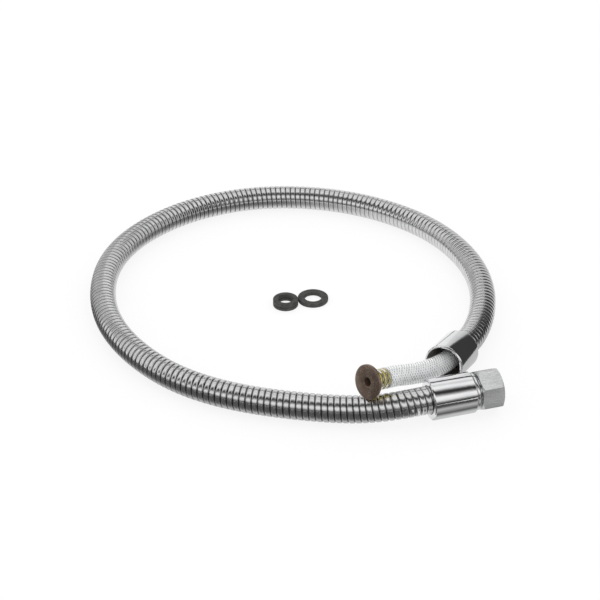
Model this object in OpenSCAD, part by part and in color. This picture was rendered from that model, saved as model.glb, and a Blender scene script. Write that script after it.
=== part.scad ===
// Flexible armoured pre-rinse spray hose, lying in one open loop on a flat surface.
// Millimetres, +Z up, the surface is z = 0. The inlet end has a swivel nut for the riser,
// and the liner is drawn out of the outlet end, where a spray handle screws on.

/* [Armour] */
// Outside diameter of the metal armour over its ribs
armour_od = 19; // [19:0.5:22]
// Bore of the armour
armour_bore = 16.6; // [16:0.1:16.8]
// Length of one rib along the armour
rib_pitch = 4.4; // [4.4:0.1:6]
// Depth of the groove between two ribs
rib_depth = 0.6; // [0.3:0.1:0.7]

/* [Liner] */
// Bore of the liner
liner_bore = 9.5; // [9:0.1:9.8]
// Wall of the liner's inner tube
core_wall = 1.1; // [0.8:0.1:1.2]
// Thickness of the liner's yarn braid
braid_wall = 0.4; // [0.3:0.1:0.6]
// Wall of the liner's clear outer jacket
jacket_wall = 0.8; // [0.6:0.1:1]
// Room left between two layers of the liner
layer_gap = 0.05; // [0.03:0.01:0.1]

/* [End ferrules] */
// Wall of the sleeve that backs each end of the armour
sleeve_wall = 0.8; // [0.6:0.1:0.8]
// Length of that sleeve inside the armour
sleeve_len = 17; // [8:1:19]
// Thickness of the flange that the collar pulls on
ferrule_flange = 1.6; // [1.2:0.1:2.5]

/* [Collars] */
// Outside diameter of both collars
collar_od = 28; // [27:0.1:30]
// Wall of both collars round their threaded bore
collar_wall = 2; // [1.7:0.1:2.5]
// Length of the lip that closes round the armour
collar_lip = 4; // [2:0.5:6]
// Length of each collar
collar_len = 30.5; // [22:0.5:40]
// Chamfer on the ends of the collars
collar_chamfer = 0.8; // [0.3:0.1:1.2]

/* [Inlet adaptor] */
// Diameter of the shoulder between the collar and the nut
shoulder_od = 25.6; // [24.6:0.1:26.5]
// Length of that shoulder
shoulder_len = 2.6; // [2:0.1:5]
// Rounding of the shoulder's rim
shoulder_round = 0.9; // [0.3:0.1:1]
// Diameter of the neck that the nut turns on
neck_od = 18.2; // [17.8:0.1:18.8]
// Bore of the adaptor
adaptor_bore = 15.3; // [15.1:0.1:16]
// Diameter of the flange that holds the nut on
swivel_flange_od = 20.8; // [20.2:0.1:21]
// Thickness of that flange
swivel_flange = 2; // [1.4:0.1:2.4]

/* [Swivel nut] */
// Size across the flats of the nut
nut_af = 25.4; // [24.4:0.2:27]
// Length of the nut
nut_len = 15.4; // [15:0.1:22]
// Thickness of the lip at the back of the nut
nut_lip = 2.6; // [1.6:0.1:3.2]
// Bore of the nut's thread, a half inch pipe thread's crests
nut_bore = 19.2; // [19:0.1:19.5]
// Room round the swivel flange in the turned relief behind the thread
relief_room = 0.4; // [0.3:0.05:0.7]
// Space between the shoulder and the nut
nut_gap = 1; // [0.5:0.1:2]

/* [Liner inserts] */
// Diameter of the insert's flange at the inlet end
inlet_flange_od = 18.4; // [17:0.1:18.8]
// Thickness of that flange
inlet_flange = 1.6; // [1:0.1:2.4]
// Diameter of the insert's flange at the outlet end
outlet_flange_od = 23.4; // [20:0.1:23.6]
// Thickness of that flange
outlet_flange = 1.8; // [1.2:0.1:2.4]
// Waterway through both inserts
waterway = 6.2; // [5:0.1:6.6]
// Root diameter of the barbed shanks
shank_od = 8.3; // [7.8:0.1:8.7]
// Diameter over the barbs
barb_od = 9.3; // [8.8:0.1:9.4]
// Length of one barb
barb_len = 4; // [3:0.1:5]
// Number of barbs on a shank
barbs = 5; // [3:1:5]

/* [Washers] */
// Outside diameter of the two small washers
small_washer_od = 19; // [18:0.1:19.1]
// Hole in the small washers
small_washer_bore = 11; // [9:0.1:13]
// Thickness of one small washer
small_washer = 2.8; // [2:0.1:3.5]
// Outside diameter of the large washer
large_washer_od = 23; // [22:0.1:23.4]
// Hole in the large washer
large_washer_bore = 12.7; // [11:0.1:15]
// Thickness of the large washer
large_washer = 3.1; // [2:0.1:4]
// Rounding of the washers' edges
washer_round = 0.7; // [0.2:0.1:0.9]

/* [Fits] */
// Radial clearance of a turning or screwed fit
run_fit = 0.08; // [0.04:0.01:0.1]
// Space kept between loose neighbours
loose = 0.3; // [0.25:0.05:0.5]

/* [Hidden] */

$fn = 96;
SIDES = 8;                          // sides of every tube that follows the loop
STEPS = 8;                          // points worked out on each span of a route
FLAT = 0.5;                         // depth of the flat that the armour lies on
ARC_STEPS = 4;                      // facets in a rounded edge's quarter circle
OVER = 1;                           // how far a cut runs past the face that it opens
NUT_FACE = 0.2;                     // how far inside the flats the nut's end faces stop
BARB_PEAK = 0.6;                    // share of a barb's length from its widest edge to its root

// Where the ends of the armour are, seen from above, and which way they point outwards.
inlet_end = [31.5, -71.4];
inlet_angle = 16;
outlet_end = [52, -14.2];
outlet_angle = 242;
outlet_rise = 8;                    // the stiff liner holds the outlet's mouth up
nut_turn = -4;                      // the nut lies nearly on one of its long corners

// The armour's loop between its straight ends, seen from above.
loop_route = [
    [-20, -78.5], [-58, -74], [-98, -65], [-134, -48.5], [-161.5, -25], [-184.5, 5],
    [-200, 38.5], [-207, 75], [-206.5, 114], [-194, 152], [-170, 185], [-139, 210],
    [-101, 225], [-61, 228], [-22, 220], [12, 203], [42, 178], [63, 147],
    [76, 112], [80, 75], [75, 38]
];

// The drawn-out liner between the outlet ferrule and its insert: plan and height.
drawn_route = [[25, -50, 20]];
insert_at = [-14, -78.5, 32.5];     // centre of the outlet insert's outer face
insert_angle = 219.5;               // which way that face looks, seen from above
insert_rise = 13.5;                 // and how far it looks up

// Washers lying inside the loop, seen from above.
small_washers_at = [-68.8, 70.3];
large_washer_at = [-48.2, 77.1];

steel = [0.78, 0.78, 0.79];
chrome = [0.86, 0.87, 0.88];
satin_nickel = [0.74, 0.75, 0.76];
brass = [0.76, 0.62, 0.28];
bronze = [0.42, 0.34, 0.27];
clear_plastic = [0.86, 0.89, 0.9, 0.55];
yarn = [0.95, 0.95, 0.95];
black_rubber = [0.14, 0.14, 0.14];

// Sizes that follow from the ones above.
collar_bore = collar_od - 2 * collar_wall;
nut_relief = swivel_flange_od + 2 * relief_room;
nut_corner_r = nut_af / 2 / cos(30);
armour_z = armour_od / 2 - FLAT;               // the armour lies on its flat
rib_r = (armour_od / 2 - FLAT) / cos(180 / SIDES);
groove_r = rib_r - rib_depth;
straight = armour_od;                          // straight run at each end of the armour
lip_hole_r = rib_r + loose;
ferrule_flange_r = collar_bore / 2 - run_fit;
sleeve_r = armour_bore / 2 - run_fit;
lip_back = -loose - collar_lip;                // back of a collar, from the armour's end
mouth = lip_back + collar_len;                 // front of a collar
nut_back = mouth + shoulder_len + nut_gap;
swivel_flange_back = nut_back + nut_lip + loose;
inlet_seat = swivel_flange_back + swivel_flange;
core_r = liner_bore / 2 + core_wall;
braid_r = core_r + layer_gap + braid_wall;
jacket_r = braid_r + layer_gap + jacket_wall;
shank_len = barbs * barb_len;

// The inlet lies on its collar's back edge and on a corner of the nut, so its axis climbs.
inlet_rise = max(0, atan((nut_corner_r - collar_od / 2) / (nut_back - lip_back)));

// Height of the armour's end in a collar that lies on its back edge.
function end_z(rise) = collar_od / 2 * cos(rise) - lip_back * sin(rise);
inlet_z = end_z(inlet_rise);
outlet_z = end_z(outlet_rise);

// ---- Routes ----

function unit(v) = v / norm(v);
function heading(angle, rise = 0) = [cos(rise) * cos(angle), cos(rise) * sin(angle), sin(rise)];
function flat3(p, z) = [p.x, p.y, z];

// One point of a uniform cubic B-spline.
function spline_point(p, i, u) =
    (pow(1 - u, 3) * p[i] + (3 * pow(u, 3) - 6 * u * u + 4) * p[i + 1]
     + (-3 * pow(u, 3) + 3 * u * u + 3 * u + 1) * p[i + 2] + pow(u, 3) * p[i + 3]) / 6;

// The curve of a route, which starts and ends on the route's first and last points.
function curve(route) =
    let (n = len(route),
         p = concat([2 * route[0] - route[1]], route, [2 * route[n - 1] - route[n - 2]]))
    [for (i = [0 : n - 2]) for (k = [0 : STEPS - 1]) spline_point(p, i, k / STEPS),
     route[n - 1]];

// How far along a curve each of its points is.
function runs(c) =
    [for (i = 0, s = 0; i < len(c); i = i + 1, s = i < len(c) ? s + norm(c[i] - c[i - 1]) : s) s];

function at(c, run, s) =
    [for (axis = [0 : len(c[0]) - 1]) lookup(s, [for (i = [0 : len(c) - 1]) [run[i], c[i][axis]]])];

inlet_dir = heading(inlet_angle, inlet_rise);
outlet_dir = heading(outlet_angle, outlet_rise);
insert_dir = heading(insert_angle, insert_rise);

// The armour's centre line: straight into each collar, and flat on the surface between them.
end_runs = [0, straight, 1.5 * straight];
function lifted(p) = [p.x, p.y, max(p.z, armour_z)];
lay_route = concat(
    [for (i = [0 : 2]) lifted(flat3(inlet_end, inlet_z) - end_runs[i] * inlet_dir)],
    [for (p = loop_route) flat3(p, armour_z)],
    [for (i = [2 : -1 : 0]) lifted(flat3(outlet_end, outlet_z) - end_runs[i] * outlet_dir)]
);
lay_curve = curve(lay_route);
lay_runs = runs(lay_curve);
armour_len = lay_runs[len(lay_runs) - 1];
ribs = floor(armour_len / rib_pitch);
pitch = armour_len / ribs;

// A point of a curve, and the curve's direction there.
TANGENT_STEP = 1;
function centre(s) = at(lay_curve, lay_runs, s);
function along(s) =
    unit(centre(min(s + TANGENT_STEP, armour_len)) - centre(max(s - TANGENT_STEP, 0)));

// ---- Tubes ----

// One ring of points round a centre, with a side of the ring underneath.
function ring(c, dir, r) =
    let (side = unit(cross([0, 0, 1], dir)), up = cross(dir, side))
    [for (k = [0 : SIDES - 1]) let (a = 360 * (k + 0.5) / SIDES)
        c + r * (cos(a) * side + sin(a) * up)];

// Triangles between neighbouring rings; from is the first ring's first point.
function skin(from, rings, inside) =
    [for (i = [0 : rings - 2]) for (k = [0 : SIDES - 1])
        let (a = from + i * SIDES + k, b = from + i * SIDES + (k + 1) % SIDES)
        each inside
            ? [[a, b, b + SIDES], [a, b + SIDES, a + SIDES]]
            : [[a, a + SIDES, b + SIDES], [a, b + SIDES, b]]];

// Triangles of the flat end between an outer ring and an inner one.
function end_face(outer, inner, first) =
    [for (k = [0 : SIDES - 1])
        let (n = (k + 1) % SIDES)
        each first
            ? [[outer + k, outer + n, inner + n], [outer + k, inner + n, inner + k]]
            : [[outer + k, inner + k, inner + n], [outer + k, inner + n, outer + n]]];

// A tube from rings: outer and bore are lists of [centre, direction, radius].
module tube(outer, bore) {
    o = len(outer);
    b = len(bore);
    polyhedron(
        points = [each [for (r = outer) each ring(r[0], r[1], r[2])],
                  each [for (r = bore) each ring(r[0], r[1], r[2])]],
        faces = concat(
            skin(0, o, false),
            skin(o * SIDES, b, true),
            end_face(0, o * SIDES, true),
            end_face((o - 1) * SIDES, (o + b - 1) * SIDES, false)),
        convexity = 6);
}

BORE_RIBS = 3;                      // ribs between two rings of the armour's bore
LINER_RIBS = 6;                     // and between two rings of the liner

function every(ribs_apart) = [for (k = [0 : ribs_apart : ribs - ribs_apart / 2]) k * pitch];

armour_skin = [for (k = [0 : 2 * ribs]) let (s = k * pitch / 2)
    [centre(s), along(s), k % 2 == 0 ? groove_r : rib_r]];
armour_hole = [for (s = concat(every(BORE_RIBS), [armour_len]))
    [centre(s), along(s), armour_bore / 2 / cos(180 / SIDES)]];

// The liner's centre line: from the inlet insert, through the armour, to the outlet insert.
liner_start = flat3(inlet_end, inlet_z) + inlet_seat * inlet_dir;
liner_exit = flat3(outlet_end, outlet_z) + ferrule_flange * outlet_dir;
liner_end = insert_at - outlet_flange * insert_dir;
drawn_curve = curve(concat(
    [for (d = [0, straight / 2, straight]) liner_exit + d * outlet_dir],
    drawn_route,
    [for (d = [shank_len + 1.5 * barb_len, shank_len + 0.5 * barb_len, 0])
        liner_end - d * insert_dir]
));
drawn_runs = runs(drawn_curve);
drawn_len = drawn_runs[len(drawn_runs) - 1];
DRAWN_RINGS = 12;
function drawn(s) = at(drawn_curve, drawn_runs, s);
function drawn_along(s) =
    unit(drawn(min(s + TANGENT_STEP, drawn_len)) - drawn(max(s - TANGENT_STEP, 0)));

liner_line = concat(
    [[liner_start, -inlet_dir]],
    [for (s = every(LINER_RIBS)) [centre(s), along(s)]],
    [[centre(armour_len), outlet_dir]],
    [for (k = [0 : DRAWN_RINGS]) let (s = k * drawn_len / DRAWN_RINGS) [drawn(s), drawn_along(s)]]
);
liner_len = armour_len + inlet_seat + ferrule_flange + drawn_len;

echo(str("armour ", round(armour_len), " mm, ", ribs, " ribs; liner ", round(liner_len), " mm"));
echo(str("drawn-out liner past the collar ",
    round(drawn_len + ferrule_flange - mouth), " mm"));

// A layer of the liner, by the radius of its corners inside and outside.
module liner_layer(inner_r, outer_r) {
    tube([for (r = liner_line) [r[0], r[1], outer_r]],
         [for (r = liner_line) [r[0], r[1], inner_r]]);
}

// ---- Places ----

module at_inlet() {
    translate(flat3(inlet_end, inlet_z)) rotate([0, 90 - inlet_rise, inlet_angle]) children();
}

module at_outlet() {
    translate(flat3(outlet_end, outlet_z)) rotate([0, 90 - outlet_rise, outlet_angle]) children();
}

module at_insert() {
    translate(insert_at) rotate([0, 90 - insert_rise, insert_angle]) children();
}

// ---- Pieces ----

module armour() {
    color(steel) tube(armour_skin, armour_hole);
}

module liner_core() {
    color(clear_plastic) liner_layer(liner_bore / 2 / cos(180 / SIDES), core_r);
}

module liner_braid() {
    color(yarn) liner_layer(core_r + layer_gap, braid_r);
}

module liner_jacket() {
    color(clear_plastic) liner_layer(braid_r + layer_gap, jacket_r);
}

// Sleeve that backs the armour's end, with the flange behind which the collar pulls.
module ferrule() {
    rotate_extrude() {
        translate([sleeve_r - sleeve_wall, -sleeve_len])
            square([sleeve_wall, sleeve_len + ferrule_flange]);
        translate([sleeve_r - sleeve_wall, 0])
            square([ferrule_flange_r - sleeve_r + sleeve_wall, ferrule_flange]);
    }
}

// Collar: a lip round the armour at the back, an open threaded bore at the front.
module collar() {
    r = collar_od / 2;
    c = collar_chamfer;
    rotate_extrude() polygon([
        [lip_hole_r, lip_back], [r - c, lip_back], [r, lip_back + c], [r, mouth - c],
        [r - c, mouth], [collar_bore / 2 + c, mouth], [collar_bore / 2, mouth - c],
        [collar_bore / 2, -loose], [lip_hole_r, -loose]
    ]);
}

function arc(cx, cy, r, from, to) =
    [for (k = [0 : ARC_STEPS]) let (a = from + (to - from) * k / ARC_STEPS)
        [cx + r * cos(a), cy + r * sin(a)]];

module adaptor() {
    spigot_r = collar_bore / 2 - run_fit;
    top = mouth + shoulder_len;
    f = shoulder_round;
    rotate_extrude() polygon([
        [adaptor_bore / 2, ferrule_flange], [spigot_r, ferrule_flange],
        [spigot_r, mouth - collar_chamfer],
        each arc(shoulder_od / 2 - f, mouth + f, f, -90, 0),
        each arc(shoulder_od / 2 - f, top - f, f, 0, 90),
        [neck_od / 2, top], [neck_od / 2, swivel_flange_back],
        [swivel_flange_od / 2, swivel_flange_back], [swivel_flange_od / 2, inlet_seat],
        [adaptor_bore / 2, inlet_seat]
    ]);
}

// Hexagon whose corners are turned off at both ends.
module nut() {
    face_r = nut_af / 2 - NUT_FACE;
    drop = (nut_corner_r - face_r) * tan(30);
    difference() {
        intersection() {
            translate([0, 0, nut_back]) rotate(nut_turn)
                cylinder(r = nut_corner_r, h = nut_len, $fn = 6);
            translate([0, 0, nut_back]) rotate_extrude() polygon([
                [0, 0], [face_r, 0], [nut_corner_r, drop],
                [nut_corner_r, nut_len - drop], [face_r, nut_len], [0, nut_len]
            ]);
        }
        translate([0, 0, nut_back - OVER])
            cylinder(r = neck_od / 2 + run_fit, h = nut_lip + 2 * OVER);
        translate([0, 0, nut_back + nut_lip])
            cylinder(d = nut_relief, h = inlet_seat + inlet_flange - nut_back - nut_lip);
        translate([0, 0, nut_back + nut_lip]) cylinder(d = nut_bore, h = nut_len);
    }
}

// Flange with a barbed shank behind it; z = 0 is the flange's outer face.
module insert(flange_od, flange) {
    barb_points = [for (k = [0 : barbs - 1]) each
        [[barb_od / 2, -flange - (k + 1 - BARB_PEAK) * barb_len],
         [shank_od / 2, -flange - (k + 1) * barb_len]]];
    rotate_extrude() polygon([
        [waterway / 2, 0], [flange_od / 2, 0], [flange_od / 2, -flange],
        [shank_od / 2, -flange], each barb_points,
        [waterway / 2, -flange - shank_len]
    ]);
}

module washer(od, bore, thick) {
    f = washer_round;
    rotate_extrude() polygon([
        each arc(bore / 2 + f, f, f, 270, 180), each arc(bore / 2 + f, thick - f, f, 180, 90),
        each arc(od / 2 - f, thick - f, f, 90, 0), each arc(od / 2 - f, f, f, 0, -90)
    ]);
}

module inlet_ferrule() { color(steel) at_inlet() ferrule(); }
module inlet_collar() { color(chrome) at_inlet() collar(); }
module inlet_adaptor() { color(chrome) at_inlet() adaptor(); }
module swivel_nut() { color(satin_nickel) at_inlet() nut(); }
module inlet_insert() {
    color(brass) at_inlet() translate([0, 0, inlet_seat + inlet_flange])
        insert(inlet_flange_od, inlet_flange);
}
module outlet_ferrule() { color(steel) at_outlet() ferrule(); }
module outlet_collar() { color(chrome) at_outlet() collar(); }
module outlet_insert() { color(bronze) at_insert() insert(outlet_flange_od, outlet_flange); }
module small_washer_lower() {
    color(black_rubber) translate(flat3(small_washers_at, 0))
        washer(small_washer_od, small_washer_bore, small_washer);
}
module small_washer_upper() {
    color(black_rubber) translate(flat3(small_washers_at, small_washer))
        washer(small_washer_od, small_washer_bore, small_washer);
}
module large_washer() {
    color(black_rubber) translate(flat3(large_washer_at, 0))
        washer(large_washer_od, large_washer_bore, large_washer);
}

armour();
liner_core();
liner_braid();
liner_jacket();
inlet_ferrule();
inlet_collar();
inlet_adaptor();
inlet_insert();
swivel_nut();
outlet_ferrule();
outlet_collar();
outlet_insert();
small_washer_lower();
small_washer_upper();
large_washer();
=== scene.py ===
"""The visible model of a flexible armoured spray hose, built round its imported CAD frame.

Shapes are worked out in millimetres and become metres as each mesh is made. +Z is up and the hose
lies on z = 0. The two hoses follow the same routes as the CAD solids that they stand for.
"""
import math

import bpy
import numpy as np
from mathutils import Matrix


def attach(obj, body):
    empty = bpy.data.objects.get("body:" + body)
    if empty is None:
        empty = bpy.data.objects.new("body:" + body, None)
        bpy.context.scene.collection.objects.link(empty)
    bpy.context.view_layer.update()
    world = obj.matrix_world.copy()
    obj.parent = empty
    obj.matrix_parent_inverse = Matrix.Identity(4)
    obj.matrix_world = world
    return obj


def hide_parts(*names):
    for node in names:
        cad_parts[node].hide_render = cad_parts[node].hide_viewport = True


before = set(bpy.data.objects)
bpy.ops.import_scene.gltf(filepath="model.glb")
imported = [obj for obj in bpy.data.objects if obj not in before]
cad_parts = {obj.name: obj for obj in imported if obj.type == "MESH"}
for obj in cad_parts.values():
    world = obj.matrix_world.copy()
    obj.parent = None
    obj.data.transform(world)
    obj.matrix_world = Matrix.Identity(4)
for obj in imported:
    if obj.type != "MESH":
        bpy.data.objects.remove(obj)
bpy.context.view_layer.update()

MM = 0.001
rng = np.random.default_rng(7)

# ---- Sizes, in millimetres and degrees, as in the CAD ----

INLET_END, INLET_ANGLE = (31.5, -71.4), 16
OUTLET_END, OUTLET_ANGLE, OUTLET_RISE = (52, -14.2), 242, 8
LOOP_ROUTE = [
    (-20, -78.5), (-58, -74), (-98, -65), (-134, -48.5), (-161.5, -25), (-184.5, 5),
    (-200, 38.5), (-207, 75), (-206.5, 114), (-194, 152), (-170, 185), (-139, 210),
    (-101, 225), (-61, 228), (-22, 220), (12, 203), (42, 178), (63, 147),
    (76, 112), (80, 75), (75, 38)]
DRAWN_ROUTE = [(25, -50, 20)]
INSERT_AT, INSERT_ANGLE, INSERT_RISE = (-14, -78.5, 32.5), 219.5, 13.5
SMALL_WASHERS_AT, LARGE_WASHER_AT = (-68.8, 70.3), (-48.2, 77.1)

ARMOUR_R, ARMOUR_BORE_R, ARMOUR_END_R, ARMOUR_PITCH = 9.5, 8.3, 9.0, 4.2
STRAIGHT = 19.0                       # the armour leaves each collar straight for this far
LINER_BORE_R, YARN_R, JACKET_IN_R, JACKET_R = 4.75, 6.1, 6.35, 7.15
INSERT_STRAIGHT = (26, 22, 0)         # places along the insert's shank that the liner follows
COLLAR_R, COLLAR_BORE_R, COLLAR_LEN, LIP, LIP_HOLE_R = 14.0, 12.0, 30.5, 4.0, 9.8
LIP_FRONT = -0.3
LIP_BACK = LIP_FRONT - LIP
MOUTH = LIP_BACK + COLLAR_LEN
FERRULE_FLANGE = 1.6
SHOULDER_LEN, SHOULDER_R, NECK_R, ADAPTOR_BORE_R, SPIGOT_R = 2.6, 12.8, 9.1, 7.65, 11.92
NUT_AF, NUT_LEN, NUT_LIP, NUT_BORE_R, NUT_RELIEF_R = 25.4, 15.4, 2.6, 9.6, 10.8
NUT_GAP, NUT_TURN, NUT_ROUND = 1, -4, 0.45
NUT_CORNER_R = NUT_AF / 2 / math.cos(math.radians(30))
NUT_BACK = MOUTH + SHOULDER_LEN + NUT_GAP
SWIVEL_R, SWIVEL_LEN, SWIVEL_PLAY = 10.4, 2, 0.3
SWIVEL_BACK = NUT_BACK + NUT_LIP + SWIVEL_PLAY
INLET_SEAT = SWIVEL_BACK + SWIVEL_LEN
INLET_FLANGE, INLET_FLANGE_R = 1.6, 9.2
OUTLET_FLANGE, OUTLET_FLANGE_R = 1.8, 11.7
SHANK_R, BARB_R, BARB_LEN, BARBS, WATERWAY_R = 4.15, 4.65, 4, 5, 3.1
COLLAR_THREAD_PITCH, COLLAR_THREAD_DEEP = 1.5, 0.75
NUT_THREAD_PITCH, NUT_THREAD_DEEP = 1.81, 0.8
INLET_RISE = math.degrees(math.atan((NUT_CORNER_R - COLLAR_R) / (NUT_BACK - LIP_BACK)))


def end_z(rise):
    """Height of the armour's end in a collar that lies on its back edge."""
    a = math.radians(rise)
    return COLLAR_R * math.cos(a) - LIP_BACK * math.sin(a)


def heading(angle, rise):
    """Unit direction at an angle round +Z and a rise above the floor."""
    a, e = math.radians(angle), math.radians(rise)
    return np.array([math.cos(e) * math.cos(a), math.cos(e) * math.sin(a), math.sin(e)])


INLET_AT = np.array([*INLET_END, end_z(INLET_RISE)])
OUTLET_AT = np.array([*OUTLET_END, end_z(OUTLET_RISE)])
INLET_DIR, OUTLET_DIR = heading(INLET_ANGLE, INLET_RISE), heading(OUTLET_ANGLE, OUTLET_RISE)
INSERT_DIR = heading(INSERT_ANGLE, INSERT_RISE)


def place(origin, angle, rise):
    """Turn and origin of a piece whose own +Z points outwards and whose own +X points down."""
    a, t = math.radians(angle), math.radians(90 - rise)
    turn = np.array([[math.cos(a), -math.sin(a), 0], [math.sin(a), math.cos(a), 0], [0, 0, 1]])
    tip = np.array([[math.cos(t), 0, math.sin(t)], [0, 1, 0], [-math.sin(t), 0, math.cos(t)]])
    return turn @ tip, np.array(origin, float)


AT_INLET = place(INLET_AT, INLET_ANGLE, INLET_RISE)
AT_OUTLET = place(OUTLET_AT, OUTLET_ANGLE, OUTLET_RISE)
AT_INSERT = place(INSERT_AT, INSERT_ANGLE, INSERT_RISE)

# ---- Routes ----


def spline(route, steps=24):
    """A uniform cubic B-spline that starts and ends on the route's first and last points."""
    r = np.array(route, float)
    p = np.vstack([2 * r[0] - r[1], r, 2 * r[-1] - r[-2]])
    u = (np.arange(steps) / steps)[:, None]
    out = []
    for i in range(len(p) - 3):
        out.append(((1 - u) ** 3 * p[i] + (3 * u ** 3 - 6 * u ** 2 + 4) * p[i + 1]
                    + (-3 * u ** 3 + 3 * u ** 2 + 3 * u + 1) * p[i + 2] + u ** 3 * p[i + 3]) / 6)
    return np.vstack(out + [r[-1:]])


class Line:
    """A route by its length: line(s) gives centres and two directions square to the line."""

    def __init__(self, points):
        self.points = np.array(points, float)
        steps = np.linalg.norm(np.diff(self.points, axis=0), axis=1)
        self.runs = np.concatenate([[0], np.cumsum(steps)])
        self.length = self.runs[-1]

    def centre(self, s):
        return np.stack([np.interp(s, self.runs, self.points[:, i]) for i in range(3)], -1)

    def __call__(self, s):
        s = np.asarray(s, float)
        ahead = self.centre(np.minimum(s + 1, self.length)) - self.centre(np.maximum(s - 1, 0))
        ahead /= np.linalg.norm(ahead, axis=-1, keepdims=True)
        side = np.cross([0.0, 0.0, 1.0], ahead)
        side /= np.linalg.norm(side, axis=-1, keepdims=True)
        return self.centre(s), side, np.cross(ahead, side)


def own_axis(s):
    """The own +Z axis of a turned piece, used like a Line."""
    s = np.asarray(s, float)
    flat = np.zeros_like(s)
    return (np.stack([flat, flat, s], -1), np.broadcast_to([1.0, 0, 0], s.shape + (3,)),
            np.broadcast_to([0, 1.0, 0], s.shape + (3,)))


def lay_route(z):
    """The loop at height z, with its straight ends rising into the two collars."""
    ends = [0, STRAIGHT, 1.5 * STRAIGHT]
    first = [INLET_AT - d * INLET_DIR for d in ends]
    last = [OUTLET_AT - d * OUTLET_DIR for d in reversed(ends)]
    lifted = [[p[0], p[1], max(p[2], z)] for p in first + last]
    return lifted[:3] + [(x, y, z) for x, y in LOOP_ROUTE] + lifted[3:]


armour_line = Line(spline(lay_route(ARMOUR_R)))
liner_start = INLET_AT + INLET_SEAT * INLET_DIR
liner_exit = OUTLET_AT + FERRULE_FLANGE * OUTLET_DIR
liner_end = np.array(INSERT_AT) - OUTLET_FLANGE * INSERT_DIR
drawn_points = spline([liner_exit + d * OUTLET_DIR for d in (0, STRAIGHT / 2, STRAIGHT)]
                      + [np.array(p, float) for p in DRAWN_ROUTE]
                      + [liner_end - d * INSERT_DIR for d in INSERT_STRAIGHT])
liner_line = Line(np.vstack([[liner_start], armour_line.points, drawn_points]))
drawn_from = liner_line.length - Line(drawn_points).length

# ---- Camera, in metres and degrees ----

LENS, SENSOR = 89.36, 36
CAMERA_AT, CAMERA_TILT = (-0.058, -0.88145, 0.58754), 58.5

camera_data = bpy.data.cameras.new("camera")
camera_data.lens, camera_data.sensor_width = LENS, SENSOR
camera_data.clip_start, camera_data.clip_end = 0.05, 40
camera = bpy.data.objects.new("camera", camera_data)
camera.location = CAMERA_AT
camera.rotation_euler = (math.radians(CAMERA_TILT), 0, 0)
bpy.context.scene.collection.objects.link(camera)
bpy.context.scene.camera = camera
bpy.context.scene.view_settings.view_transform = "Standard"

# ---- Materials ----


def node(tree, kind, inputs=None, **settings):
    """A new shader node; each input is another node's socket or a plain value."""
    made = tree.nodes.new("ShaderNode" + kind)
    for key, value in settings.items():
        setattr(made, key, value)
    for key, value in (inputs or {}).items():
        if isinstance(value, bpy.types.NodeSocket):
            tree.links.new(value, made.inputs[key])
        else:
            made.inputs[key].default_value = value
    return made


def material(name, **sockets):
    """A new principled material: (material, node tree, shader)."""
    made = bpy.data.materials.new(name)
    made.use_nodes = True
    shader = made.node_tree.nodes["Principled BSDF"]
    for key, value in sockets.items():
        shader.inputs[key.replace("_", " ")].default_value = value
    return made, made.node_tree, shader


def noise(tree, scale, detail=3.0, roughness=0.55, stretch=None, coordinates="Object"):
    """A noise by the piece's own place, with stretch times finer or coarser along each axis."""
    place_in = node(tree, "TexCoord").outputs[coordinates]
    if stretch:
        place_in = node(tree, "Mapping", {"Vector": place_in, "Scale": stretch}).outputs[0]
    return node(tree, "TexNoise", {"Vector": place_in, "Scale": scale, "Detail": detail,
                                   "Roughness": roughness}).outputs["Fac"]


def ramp(tree, value, stops):
    """Colours or greys by value: stops are (place, grey or colour)."""
    made = node(tree, "ValToRGB", {"Fac": value})
    band = made.color_ramp
    while len(band.elements) < len(stops):
        band.elements.new(0.5)
    for element, (at, colour) in zip(band.elements, stops):
        element.position = at
        element.color = (*colour, 1) if isinstance(colour, tuple) else (colour, colour, colour, 1)
    return made.outputs["Color"]


def drive(tree, shader, socket, value, stops):
    """Sets a shader's socket by a ramp."""
    tree.links.new(ramp(tree, value, stops), shader.inputs[socket])


def paint_shade_by(tree, shader, colour, attribute, stops):
    """Sets the base colour to a colour made darker by a ramp over a point attribute: painted shade
    where the attribute is low.
    """
    value = node(tree, "Attribute", attribute_name=attribute).outputs["Fac"]
    mixed = node(tree, "Mix", {0: 1.0, 6: colour, 7: ramp(tree, value, stops)},
                 data_type="RGBA", blend_type="MULTIPLY")
    tree.links.new(mixed.outputs[2], shader.inputs["Base Color"])


def bump(tree, shader, height, distance, strength, under=None):
    """Bumps a shader, in metres, over another bump if there is one."""
    inputs = {"Height": height, "Distance": distance, "Strength": strength}
    if under is not None:
        inputs["Normal"] = under
    made = node(tree, "Bump", inputs)
    tree.links.new(made.outputs["Normal"], shader.inputs["Normal"])
    return made.outputs["Normal"]


def chrome_material(name):
    """Bright plate with a faint waviness, which breaks up the reflections."""
    made, tree, shader = material(name, Metallic=1.0, Roughness=0.06)
    soft = noise(tree, 90)
    fine = noise(tree, 1400, 4)
    drive(tree, shader, "Base Color", soft,
          [(0.3, (0.72, 0.725, 0.735)), (0.7, (0.80, 0.80, 0.805))])
    drive(tree, shader, "Roughness", fine, [(0.35, 0.045), (0.7, 0.10)])
    wave = bump(tree, shader, soft, 0.0012, 0.10)
    bump(tree, shader, fine, 0.00002, 0.25, wave)
    return made


def steel_material(name):
    """Polished strip, with painted shade down in the grooves."""
    made, tree, shader = material(name, Metallic=1.0, Roughness=0.2)
    fine = noise(tree, 2600, 4)
    worn = ramp(tree, noise(tree, 160), [(0.3, (0.60, 0.60, 0.605)), (0.7, (0.70, 0.70, 0.70))])
    # Painted shade: the colour goes darker down in the grooves between the ribs.
    paint_shade_by(tree, shader, worn, "crest", [(0.0, 0.2), (0.45, 0.7), (0.8, 1.0)])
    drive(tree, shader, "Roughness", fine, [(0.3, 0.13), (0.75, 0.27)])
    bump(tree, shader, fine, 0.00003, 0.3)
    return made


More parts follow.
